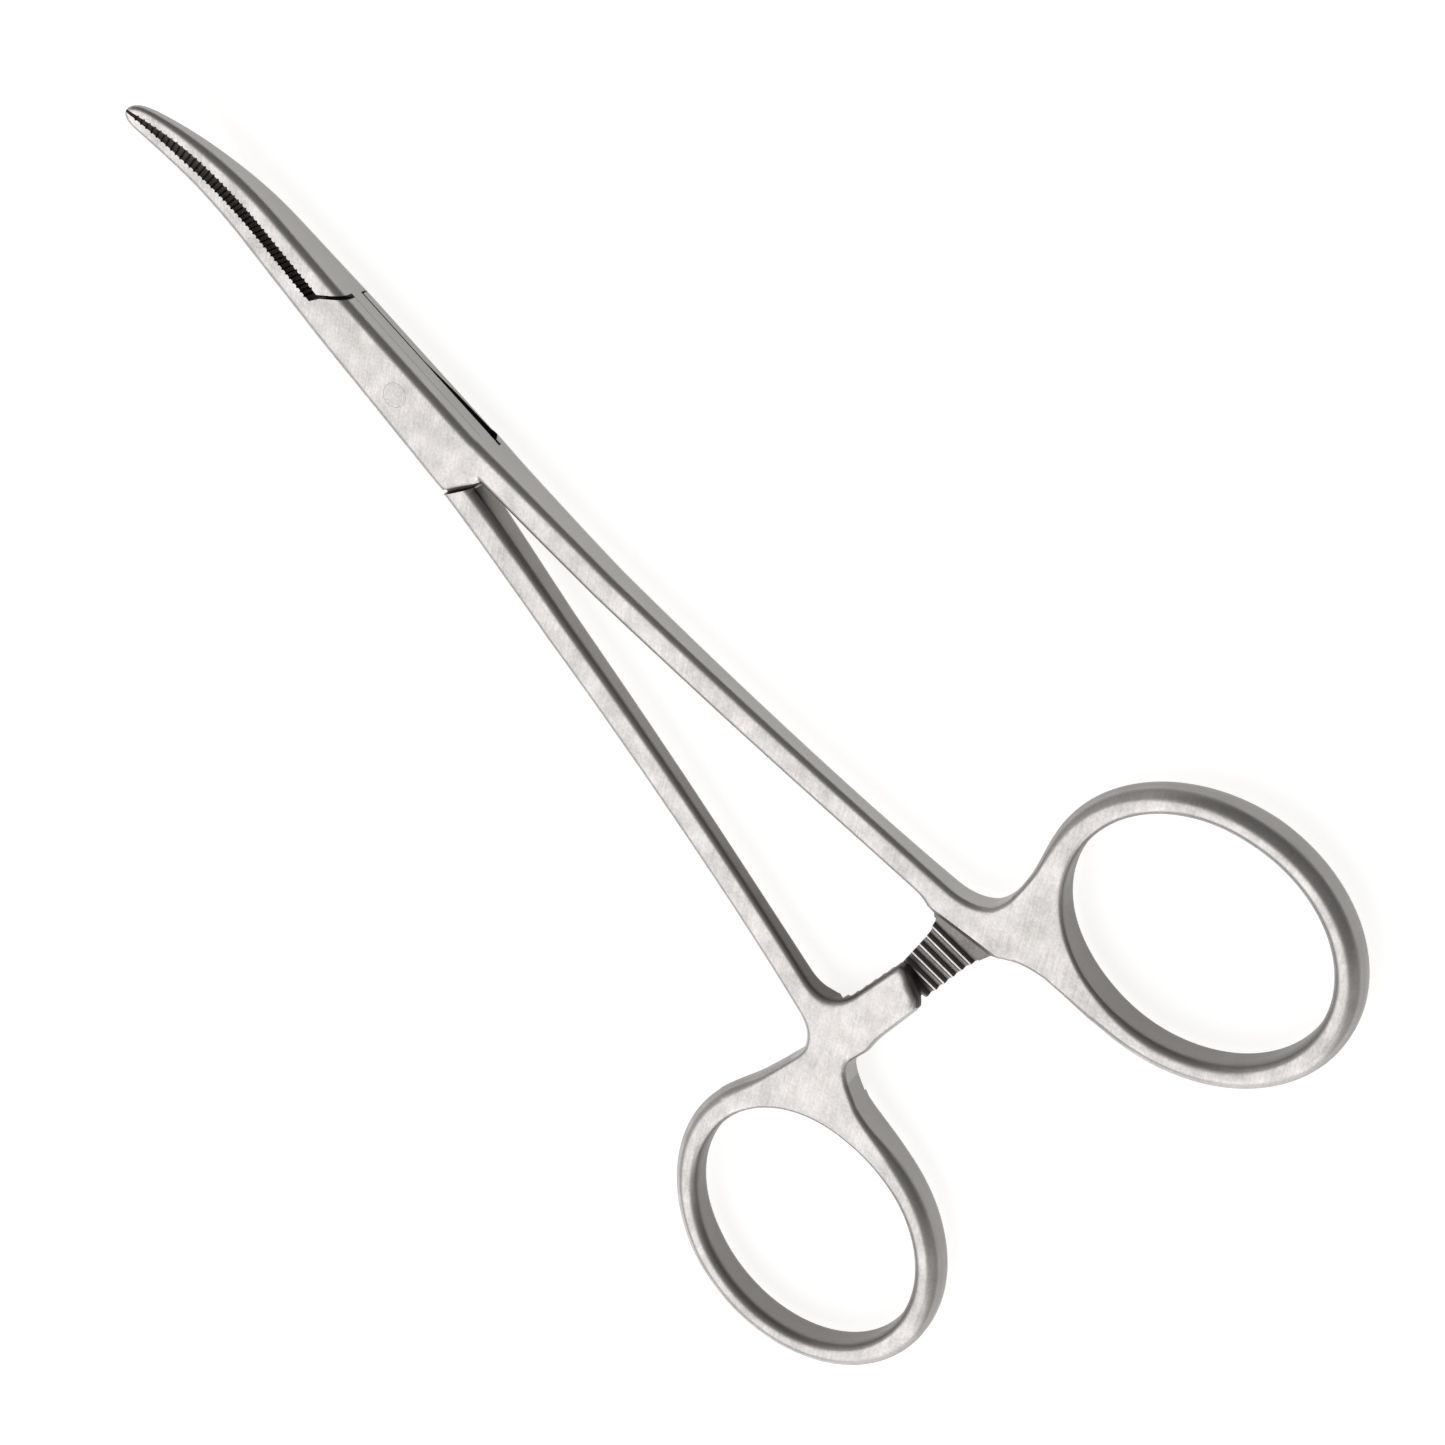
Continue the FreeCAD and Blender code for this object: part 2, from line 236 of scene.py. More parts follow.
# Sizes along the instrument, as (x, size)
thickness = smooth_curve([
    (TIP_X, TIP_THICKNESS), (-28.0, 1.75), (-23.0, 2.55), (-18.0, 3.2), (-12.5, 3.65),
    (-7.0, BOX_THICKNESS), (7.0, BOX_THICKNESS),
    (12.0, 3.5), (23.0, 2.75), (37.0, 2.35), (52.0, 2.15), (63.0, 2.45), (74.0, 3.4),
])
front_half_width = smooth_curve([
    (TIP_X, 0.80), (-31.0, 1.32), (-25.5, 1.90), (-18.0, 2.30),
    (-BOX_INNER_X, BOX_FRONT_HALF_WIDTH), (BOX_INNER_X, BOX_REAR_HALF_WIDTH),
])
edge_radius = smooth_curve([
    (TIP_X, 0.35), (-29.0, 0.62), (-24.0, 0.85), (-8.0, 0.88), (8.0, 0.85), (20.0, 0.72),
    (58.0, 0.66), (66.0, 0.55),
])

# Edge radius of the ring's two rims, as (distance from the web's middle, radius)
ring_outer_radius = smooth_curve([(0.0, 0.50), (4.0, 0.60), (10.0, 1.25), (16.0, 1.45)])
ring_inner_radius = smooth_curve([(0.0, 0.40), (6.0, 0.45), (13.0, 0.85), (19.0, 1.00)])


def mid_level(x):
    """Height of the middle surface: level, then bent up towards the tips."""
    along = np.clip(BEND_X - x, 0, BEND_RADIUS * 0.9)
    return MID_Z + BEND_RADIUS - np.sqrt(BEND_RADIUS ** 2 - along ** 2)


def axis_y(x):
    """The line about which shanks and rings mirror; it starts at the pivot."""
    settling = np.clip((AXIS_SETTLED_X - x) / (AXIS_SETTLED_X - SHANK_START_X), 0, 1)
    return RING_AXIS_Y * (1 - settling)


# --- Plan distances, negative inside ------------------------------------

def front_plan(x, y):
    """Both jaws and the box: the lens shape that the two halves share."""
    sides = np.abs(y) - front_half_width(x)
    rear_end = (x - BOX_INNER_X - 0.15) * 0.85 + np.maximum(-y, 0) * 0.46
    return meet(np.maximum(sides, rear_end), TIP_X - x, TIP_ROUND)


def shank_spread(x):
    """Distance of a shank's middle line from the shared axis."""
    straight = SHANK_START_SPREAD + SHANK_SLOPE * (x - SHANK_START_X)
    return straight + SHANK_BOW * (x ** 2 - SHANK_START_X ** 2)


def shank_plan(x, distance):
    along = np.clip(x, SHANK_START_X, SHANK_END_X)
    spread = shank_spread(along)
    slope = SHANK_SLOPE + 2 * SHANK_BOW * along
    part_way = (along - SHANK_START_X) / (SHANK_END_X - SHANK_START_X)
    half_width = SHANK_START_HALF_WIDTH
    half_width = half_width + (SHANK_END_HALF_WIDTH - SHANK_START_HALF_WIDTH) * part_way
    across = (distance - spread) / np.sqrt(1 + slope ** 2)
    return np.hypot(across, x - along) - half_width


def ellipse_plan(x, distance, offset):
    """Ellipse beside the line of the ring's band."""
    dx = x - RING_CENTRE_X
    dy = distance - RING_SPREAD
    u = dx * math.cos(RING_SPLAY) + dy * math.sin(RING_SPLAY)
    v = dy * math.cos(RING_SPLAY) - dx * math.sin(RING_SPLAY)
    a = RING_LONG + offset
    b = RING_SHORT + offset
    k0 = np.hypot(u / a, v / b)
    k1 = np.hypot(u / a ** 2, v / b ** 2) + 1e-9
    return k0 * (k0 - 1) / k1


def polygon_plan(corners, x, distance):
    """Signed distance to a polygon."""
    nearest = np.full(np.broadcast(x, distance).shape, np.inf)
    inside = np.zeros(nearest.shape, bool)
    for (x1, d1), (x2, d2) in zip(corners, corners[1:] + corners[:1]):
        ex, ed = x2 - x1, d2 - d1
        along = ((x - x1) * ex + (distance - d1) * ed) / (ex ** 2 + ed ** 2)
        along = np.clip(along, 0, 1)
        gap = np.hypot(x - x1 - along * ex, distance - d1 - along * ed)
        nearest = np.minimum(nearest, gap)
        spans = (d1 > distance) != (d2 > distance)
        crossing = x < x1 + ex * (distance - d1) / (ed if ed else 1)
        inside ^= spans & crossing
    return np.where(inside, -nearest, nearest)


def web_plan(x, distance, side):
    """Web with its corners eased."""
    return polygon_plan(WEB[side], x, distance) - WEB_EASE


def bar_end_plan(x, distance):
    """Beyond the slanted end of a ratchet bar."""
    return -distance - BAR_END + (x - BAR_MIDDLE_X) * BAR_END_SLANT


def bar_plan(x, distance, side):
    """Ratchet bar, narrower towards its end."""
    slim = np.clip((BAR_ROOT - distance) / (BAR_ROOT + BAR_END), 0, 1.2)
    if side == BOX_SIDE:
        front = BOX_BAR_ROOT_FRONT_X + BOX_BAR_TAPER * slim - x
        rear = x - BAR_REAR_X
    else:
        heel = TENON_BAR_HEEL * step(TENON_BAR_HEEL_START, BAR_ROOT, distance)
        front = BAR_FRONT_X + TENON_BAR_TAPER * slim - x
        rear = x - TENON_BAR_REAR_X + heel
    sides = np.maximum(front, rear)
    end = bar_end_plan(x, distance) * 0.94  # a distance again, as the end slants
    return np.maximum(meet(sides, end, BAR_CORNER), distance - BAR_ROOT)


def half_plan(x, y, side):
    """Plan of one half, before the box lock and the jaws are cut."""
    distance = side * (y - axis_y(x))
    shank = shank_plan(x, distance)
    ring = ellipse_plan(x, distance, RING_BAND / 2)
    ring = join(ring, web_plan(x, distance, side), RING_BLEND)
    outward = step(-0.8, 0.8, distance - shank_spread(np.minimum(x, SHANK_END_X)))
    bar_blend = BAR_BLEND * (1 - outward) + LEAST_BLEND
    ring_blend = INNER_BLEND + (NOTCH_BLEND[side] - INNER_BLEND) * outward
    rear = join(shank, bar_plan(x, distance, side), bar_blend)
    rear = join(rear, ring, ring_blend)
    rear = np.maximum(rear, -ellipse_plan(x, distance, -RING_BAND / 2))
    return np.minimum(front_plan(x, y), rear)


def rounding(x, y, z, side):
    """Radius of the edges: crisp on the web, round on the far side of the rings."""
    distance = side * (y - axis_y(x))
    inner_low = (distance < shank_spread(x)) & (z < mid_level(x))
    on_shank = step(10.5, 12.5, x) * step(64.0, 60.0, x)
    extra = (INNER_LOW_RADIUS - edge_radius(x)) * on_shank
    strip = edge_radius(x) + np.where(inner_low, extra, 0)
    from_web = np.hypot(x - WEB_MIDDLE[0], distance - WEB_MIDDLE[1])
    outward = step(-0.6, 0.6, ellipse_plan(x, distance, 0))
    outer, rim = ring_outer_radius(from_web), ring_inner_radius(from_web)
    ring = rim + (outer - rim) * outward
    on_ring = np.maximum(step(65.0, 68.0, x), step(13.0, 16.0, distance))
    radius = strip + (ring - strip) * on_ring
    on_bar = step(65.8, 67.2, x) * step(11.0, 6.0, distance) * (side == TENON_SIDE)
    return radius + (TENON_BAR_ROUND - radius) * on_bar


def half_distance(points, side):
    """Signed distance of points, an (n, 3) array, to one half's rounded body."""
    x, y, z = points[..., 0], points[..., 1], points[..., 2]
    radius = rounding(x, y, z, side)
    lean = np.clip((BEND_X - x) / BEND_RADIUS, 0, 0.9)
    level = (np.abs(z - mid_level(x)) - thickness(x) / 2) * np.sqrt(1 - lean ** 2)
    out = half_plan(x, y, side) + radius
    up = level + radius
    corner = np.hypot(np.maximum(out, 0), np.maximum(up, 0))
    return corner + np.minimum(np.maximum(out, up), 0) - radius


# --- Meshes from distances ----------------------------------------------

def surface_net(distance, low, high, cell):
    """Points and quads of a distance's zero surface, inside the box low to high."""
    axes = [np.arange(a, b + cell, cell) for a, b in zip(low, high)]
    nx, ny, nz = (len(axis) for axis in axes)
    field = np.empty((nx, ny, nz), np.float32)
    plane = np.stack(np.meshgrid(axes[1], axes[2], indexing="ij"), -1)
    slab = np.empty((1, ny, nz, 3))
    slab[0, ..., 1:] = plane
    for i, x in enumerate(axes[0]):
        slab[..., 0] = x
        field[i] = distance(slab)[0]
    inside = field < 0
    shape = (nx - 1, ny - 1, nz - 1)
    total = np.zeros(shape + (3,), np.float32)
    count = np.zeros(shape, np.int16)
    quads = []
    for axis in range(3):
        others = [a for a in range(3) if a != axis]
        first = [slice(None)] * 3
        second = [slice(None)] * 3
        first[axis] = slice(0, -1)
        second[axis] = slice(1, None)
        f0, f1 = field[tuple(first)], field[tuple(second)]
        crossing = inside[tuple(first)] != inside[tuple(second)]
        place = np.argwhere(crossing)
        f0, f1 = f0[crossing], f1[crossing]
        part = f0 / (f0 - f1)
        grows = f0 < 0
        for du in (0, -1):
            for dv in (0, -1):
                beside = place.copy()
                beside[:, others[0]] += du
                beside[:, others[1]] += dv
                good = np.all((beside >= 0) & (beside < shape), axis=1)
                local = np.zeros((good.sum(), 3), np.float32)
                local[:, axis] = part[good]
                local[:, others[0]] = -du
                local[:, others[1]] = -dv
                index = tuple(beside[good].T)
                np.add.at(total, index, local)
                np.add.at(count, index, 1)
        ring = []
        for du, dv in ((0, 0), (-1, 0), (-1, -1), (0, -1)):
            beside = place.copy()
            beside[:, others[0]] += du
            beside[:, others[1]] += dv
            ring.append(np.ravel_multi_index(beside.T, shape))
        quad = np.stack(ring, 1)
        flip = grows if axis != 1 else ~grows
        quad[flip] = quad[flip][:, ::-1]
        quads.append(quad)
    used = count > 0
    number = np.full(count.size, -1, np.int64)
    number[used.ravel()] = np.arange(used.sum())
    corner = np.argwhere(used)
    points = np.array([axes[a][0] for a in range(3)]) + cell * (
        corner + total[used] / count[used][:, None])
    return points, number[np.concatenate(quads)][:, ::-1]


def project(distance, points, rounds=3, probe=0.01):
    """Moves points onto the zero surface along its gradient."""
    for _ in range(rounds):
        value = distance(points)
        gradient = np.empty_like(points)
        for axis in range(3):
            shift = np.zeros(3)
            shift[axis] = probe
            rise = distance(points + shift) - distance(points - shift)
            gradient[:, axis] = rise / (2 * probe)
        scale = value / np.maximum((gradient ** 2).sum(1), 0.05)
        points = points - np.clip(scale, -0.2, 0.2)[:, None] * gradient
    return points


def relax(distance, points, quads, rounds):
    """Evens the quads out while the points stay on the surface."""
    starts = quads.ravel()
    ends = np.roll(quads, -1, axis=1).ravel()
    count = np.bincount(starts, minlength=len(points)).astype(float)
    for _ in range(rounds):
        mean = np.stack([
            np.bincount(starts, weights=points[ends, axis], minlength=len(points))
            for axis in range(3)
        ], 1) / count[:, None]
        points = project(distance, points + 0.6 * (mean - points), rounds=1)
    return points


def mesh_object(name, points, faces):
    """Object whose mesh has these points, in millimetres, and faces."""
    mesh = bpy.data.meshes.new(name)
    mesh.from_pydata((np.asarray(points) * MM).tolist(), [], [list(f) for f in faces])
    mesh.update()
    made = bpy.data.objects.new(name, mesh)
    bpy.context.scene.collection.objects.link(made)
    return made


def blank(name, side):
    """Rounded body of one half, before anything is cut."""
    def distance(points):
        return half_distance(points, side)

    pad = 2 * CELL
    far = HALF_HIGH.y + 1.5
    low = (TIP_X - pad, -4.5 if side == BOX_SIDE else -far, -pad)
    high = (HALF_HIGH.x + pad, far if side == BOX_SIDE else 4.5, HALF_HIGH.z + pad)
    points, quads = surface_net(distance, low, high, CELL)
    points = relax(distance, points, quads, RELAXING)
    points = project(distance, points)
    return mesh_object(name, points, quads)


# --- Cutting tools -------------------------------------------------------

def prism(outline, place, near, far):
    """Points and faces of a prism; place(u, v, w) puts them, w from near to far."""
    count = len(outline)
    points = [place(u, v, w) for w in (near, far) for u, v in outline]
    walls = [
        (i, (i + 1) % count, count + (i + 1) % count, count + i) for i in range(count)
    ]
    return points, walls + [tuple(range(count))[::-1], tuple(range(count, 2 * count))]


def tool(name, prisms):
    """One object of several prisms, with all faces turned outward."""
    points, faces = [], []
    for own_points, own_faces in prisms:
        corners = np.array(own_points, float)
        volume = 0.0
        for face in own_faces:
            for b, c in zip(face[1:], face[2:]):
                volume += np.dot(corners[face[0]], np.cross(corners[b], corners[c]))
        first = len(points)
        for face in own_faces:
            ordered = face if volume > 0 else face[::-1]
            faces.append([first + i for i in ordered])
        points.extend(own_points)
    return mesh_object(name, points, faces)


def upright(u, v, w):
    """Puts a prism whose outline is (x, y)."""
    return (u, v, w)


def along_y(u, v, w):
    """Puts a prism whose outline is (x, z)."""
    return (u, w, v)


def cut(body, other):
    """Takes other out of body's mesh, and deletes it."""
    modifier = body.modifiers.new("cut", "BOOLEAN")
    modifier.operation = "DIFFERENCE"
    modifier.object = other
    modifier.solver = "MANIFOLD"
    bpy.context.view_layer.update()
    graph = bpy.context.evaluated_depsgraph_get()
    result = bpy.data.meshes.new_from_object(body.evaluated_get(graph))
    body.modifiers.clear()
    old = body.data
    body.data = result
    bpy.data.meshes.remove(old)
    bpy.data.objects.remove(other)


def circle(radius, count):
    turns = [2 * math.pi * i / count for i in range(count)]
    return [(radius * math.cos(turn), radius * math.sin(turn)) for turn in turns]


def jaw_cut(side):
    """The jaw's mating face, from the closing place on to beyond the tips."""
    away = -side
    return [
        (CLOSING_X, away * MATING_GAP),
        (TIP_X, away * TIP_GAP),
        (TIP_X - PAST_TIP, away * TIP_GAP),
    ]


# The box's ends slant from their inner to their outer corners
END_RUN = BOX_INNER_X - BOX_OUTER_X
FRONT_END_RISE = float(front_half_width(-BOX_OUTER_X)) - MATING_GAP
REAR_END_RISE = float(front_half_width(BOX_OUTER_X)) + MATING_GAP
CLEAR_Y = 8.0                 # beyond both halves at the box
CLEAR_LOCK_Y = 12.0
CLEAR_LOCK_X = 12.0


def front_cut_box():
    """Plan removed in front of the box half's slanted front end."""
    run = END_RUN / FRONT_END_RISE
    root = (-BOX_INNER_X - ROOT_SLANT, -MATING_GAP)
    far = (TIP_X - PAST_TIP, CLEAR_Y)
    end = (-BOX_INNER_X + (CLEAR_Y - MATING_GAP) * run, CLEAR_Y)
    return [root] + jaw_cut(BOX_SIDE) + [far, end, (-BOX_INNER_X, MATING_GAP)]


def rear_cut_box():
    """Plan removed behind the box half's slanted rear end, beside its shank."""
    run = END_RUN / REAR_END_RISE
    return [
        (BOX_INNER_X, MATING_GAP),
        (BOX_INNER_X + (-CLEAR_Y - MATING_GAP) * run, -CLEAR_Y),
        (CLEAR_LOCK_X, -CLEAR_Y),
        (CLEAR_LOCK_X, MATING_GAP),
    ]


def front_cut_tenon():
    """Plan removed in front of the tenon half's shoulder, beside its jaw."""
    shoulder_x = -BOX_INNER_X - SHOULDER_GAP
    far = (TIP_X - PAST_TIP, -CLEAR_Y)
    end = (shoulder_x, -CLEAR_Y)
    return [(shoulder_x, MATING_GAP)] + jaw_cut(TENON_SIDE) + [far, end]


def lock_room(gap):
    """Plan between the tenon half's shoulders."""
    inner_x = BOX_INNER_X + gap
    far = CLEAR_LOCK_Y
    return [
        (-inner_x, -far),
        (-inner_x, MATING_GAP),
        (-inner_x + (far - MATING_GAP) * END_RUN / FRONT_END_RISE, far),
        (inner_x, far),
        (inner_x, MATING_GAP),
        (inner_x - (far + MATING_GAP) * END_RUN / REAR_END_RISE, -far),
    ]


def serration_prisms(side):
    """Upright V grooves across one jaw's mating face."""
    away = -side
    made = []
    for index in range(SERRATION_COUNT):
        x = SERRATION_START_X - index * SERRATION_PITCH
        closed = max(0.0, (CLOSING_X - x) / (CLOSING_X - TIP_X))
        face_y = MATING_GAP + (TIP_GAP - MATING_GAP) * closed
        lean = math.asin(max(0.0, BEND_X - x) / BEND_RADIUS)
        level = float(mid_level(x))

        def place(u, v, w, x=x, lean=lean, level=level):
            return (
                x + u * math.cos(lean) + w * math.sin(lean),
                v,
                level - u * math.sin(lean) + w * math.cos(lean),
            )

        before_face = away * (face_y - 0.1)
        outline = [
            (-SERRATION_HALF_WIDTH, before_face),
            (SERRATION_HALF_WIDTH, before_face),
            (0.0, away * (face_y + SERRATION_DEPTH)),
        ]
        made.append(prism(outline, place, -3.0, 3.0))
    return made


def ratchet_prisms(side):
    """Tools for the teeth of one bar and for the ramp from them up to the shank."""
    crest = -BAR_LEVEL_GAP / 2
    clear = 6.0                   # level above the instrument
    before_bar = -4.0             # distance before the bar's end
    teeth_end = TOOTH_COUNT * TOOTH_PITCH - BAR_END
    teeth = [(before_bar, clear), (before_bar, crest)]
    for index in range(TOOTH_COUNT):
        start = index * TOOTH_PITCH - BAR_END + TOOTH_START
        teeth += [
            (start, crest),
            (start + TOOTH_LAND, crest),
            (start + TOOTH_LAND + TOOTH_SLOPE, crest - TOOTH_DEPTH),
            (start + TOOTH_FLOOR_END * TOOTH_PITCH, crest - TOOTH_DEPTH),
        ]
    teeth += [(teeth_end, crest), (teeth_end, clear)]
    ramp_start = teeth_end - 1.5
    ramp_high = float(thickness(BAR_MIDDLE_X)) / 2
    run, top = RAMP_RUN[side], RAMP_TOP[side]
    ramp = [
        (ramp_start, clear),
        (ramp_start, crest),
        (top - run, crest),
        (top, ramp_high),
        (top + run * (clear - ramp_high) / (ramp_high - crest), clear),
    ]

    def place_with(turn):
        def place(u, v, w):
            x = BAR_MIDDLE_X + w * math.cos(turn)
            distance = u + w * math.sin(turn)
            return (x, float(axis_y(x)) + side * distance, MID_Z + side * v)
        return place

    return [
        [prism(teeth, place_with(TOOTH_TURN), -6.0, 6.0)],
        [prism(ramp, place_with(RAMP_TURN[side]), -6.0, 6.0)],
    ]


# --- The three pieces ----------------------------------------------------

def bore(radius):
    """Prism of a hole for the pin, right through the box."""
    return prism(circle(radius, PIN_SEGMENTS), upright, -1, BOX_THICKNESS + 1)


def box_half():
    piece = blank("box_half_steel", BOX_SIDE)
    low = MID_Z - SLOT_HEIGHT / 2
    high = MID_Z + SLOT_HEIGHT / 2
    far_x, far_y = CLEAR_LOCK_X, 6
    slot = circle(SLOT_RADIUS, SLOT_SEGMENTS)
    front_mouth = [
        (-far_x, -MATING_GAP), (0, -MATING_GAP), (0, far_y), (-far_x, far_y)]
    rear_mouth = [(0, -far_y), (far_x, -far_y), (far_x, MATING_GAP), (0, MATING_GAP)]
    tools = [
        tool("front", [prism(front_cut_box(), upright, -REACH, REACH)]),
        tool("rear", [prism(rear_cut_box(), upright, -REACH, REACH)]),
        tool("round_slot", [prism(slot, upright, low, high)]),
        tool("front_mouth", [prism(front_mouth, upright, low, high)]),
        tool("rear_mouth", [prism(rear_mouth, upright, low, high)]),
        tool("pin_hole", [bore(PIN_RADIUS)]),
        tool("relief", [prism(RELIEF, along_y, *RELIEF_Y)]),
        tool("serrations", serration_prisms(BOX_SIDE)),
    ]
    tools += [tool("ratchet", prisms) for prisms in ratchet_prisms(BOX_SIDE)]
    for one in tools:
        cut(piece, one)
    return piece


def tenon_half():
    piece = blank("tenon_half_steel", TENON_SIDE)
    low = MID_Z - TENON_BELOW
    high = MID_Z + TENON_ABOVE
    tools = [
        tool("front", [prism(front_cut_tenon(), upright, -REACH, REACH)]),
        tool("above", [prism(lock_room(SHOULDER_GAP), upright, high, REACH)]),
        tool("below", [prism(lock_room(LOWER_SHOULDER_GAP), upright, -REACH, low)]),
        tool("serrations", serration_prisms(TENON_SIDE)),
    ]
    tools += [tool("ratchet", prisms) for prisms in ratchet_prisms(TENON_SIDE)]
    tools.append(tool("bore", [bore(PIN_RADIUS + PIN_CLEARANCE)]))
    for one in tools:
        cut(piece, one)
    return piece


def pivot_pin():
    """Pin with its ends ground flush and their rims eased."""
    rings = (
        (PIN_RADIUS - PIN_EASE, 0.0),
        (PIN_RADIUS, PIN_EASE),
        (PIN_RADIUS, BOX_THICKNESS - PIN_EASE),
        (PIN_RADIUS - PIN_EASE, BOX_THICKNESS),
    )
    count = PIN_SEGMENTS
    points = [(0, 0, 0), (0, 0, BOX_THICKNESS)]
    for radius, z in rings:
        points += [(x, y, z) for x, y in circle(radius, count)]
    faces = []
    for ring in range(3):
        for i in range(count):
            a = 2 + ring * count + i
            b = 2 + ring * count + (i + 1) % count
            faces.append((a, b, b + count, a + count))
    last = 2 + 3 * count
    for i in range(count):
        faces.append((0, 2 + (i + 1) % count, 2 + i))
        faces.append((1, last + i, last + (i + 1) % count))
    return mesh_object("pivot_pin_steel", points, faces)


pieces = {"box_half": box_half(), "tenon_half": tenon_half(), "pivot_pin": pivot_pin()}


# --- Shading masks -------------------------------------------------------

def edge_mask(points, side):
    """1 in the middle of a rounded edge, 0 on the flats."""
    x, y, z = points.T
    radius = rounding(x, y, z, side)
    out = half_plan(x, y, side) / radius + 1
    up = (np.abs(z - mid_level(x)) - thickness(x) / 2) / radius + 1
    return step(0.0, 0.7, np.minimum(out, up))


def dark_mask(centres, normals, side):
    """How dark each face is painted: cut faces by their place, partly as a duller cut
    finish and partly as painted shade; other faces get painted shade where they are
    walls.
    """
    x, y, z = centres.T
    is_cut = half_distance(centres, side) < -0.03
    level = side * (z - MID_Z)
    distance = side * (y - axis_y(x))
    crest = -BAR_LEVEL_GAP / 2
    flat = np.abs(normals[:, 2])

    land = (np.abs(level - crest) < 0.03) & (flat > 0.9)
    land &= distance - (x - BAR_MIDDLE_X) * math.tan(TOOTH_TURN) < LAST_LAND
    # ramp: painted shade against the key light's reflection; tooth floors: cut finish
    # plus painted shade
    ratchet = np.where(level > crest - 0.02, RAMP_DARK, TOOTH_DARK)
    ratchet = np.where(land, 0.0, ratchet)
    # lock and jaw faces: a duller cut finish plus painted shade in the narrow gaps
    shade = np.where(x < 20, LOCK_DARK, ratchet)
    shade = np.where(x < -BOX_INNER_X - 0.05, JAW_DARK, shade)

    tenon = side == TENON_SIDE
    # painted shade on the tenon half's inner shank wall, deeper towards the ratchet
    inner_shank = tenon & (distance < shank_spread(x)) & (x > BOX_INNER_X) & (x < 67)
    front_shade, rear_shade = SHANK_WALL_SHADE
    shank = front_shade + (rear_shade - front_shade) * step(30.0, 60.0, x)
    wall = np.where(inner_shank, shank, 0.0)
    # painted shade on the rings' walls, deeper on the inner walls
    inside_ring = ellipse_plan(x, distance, 0) < 0
    ring = np.where(inside_ring, RING_INNER_SHADE, RING_OUTER_SHADE)
    wall = np.where((x > 70) | (distance > 14), ring, wall)
    # painted shade on the end wall of the tenon half's bar
    bar_tip = tenon & (bar_end_plan(x, distance) > -0.6) & (x > 60)
    wall = np.where(bar_tip, BAR_TIP_SHADE, wall)
    return np.where(is_cut, shade, wall * step(0.92, 0.6, flat))


def write_masks(piece, side):
    """Stores both masks in the mesh, where the steel's nodes read them."""
    mesh = piece.data
    count = len(mesh.vertices)
    points = np.empty(count * 3)
    mesh.vertices.foreach_get("co", points)
    points = points.reshape(-1, 3) / MM
    edge = mesh.attributes.new("edge", "FLOAT", "POINT")
    edge.data.foreach_set("value", edge_mask(points, side).astype(np.float32))
    faces = len(mesh.polygons)
    centres, normals = np.empty(faces * 3), np.empty(faces * 3)
    mesh.polygons.foreach_get("center", centres)
    mesh.polygons.foreach_get("normal", normals)
    # mask of faces painted darker: a duller cut finish and painted shade
    dark = mesh.attributes.new("cut_and_painted_shade", "FLOAT", "FACE")
    values = dark_mask(centres.reshape(-1, 3) / MM, normals.reshape(-1, 3), side)
    dark.data.foreach_set("value", values.astype(np.float32))


# --- Materials -----------------------------------------------------------

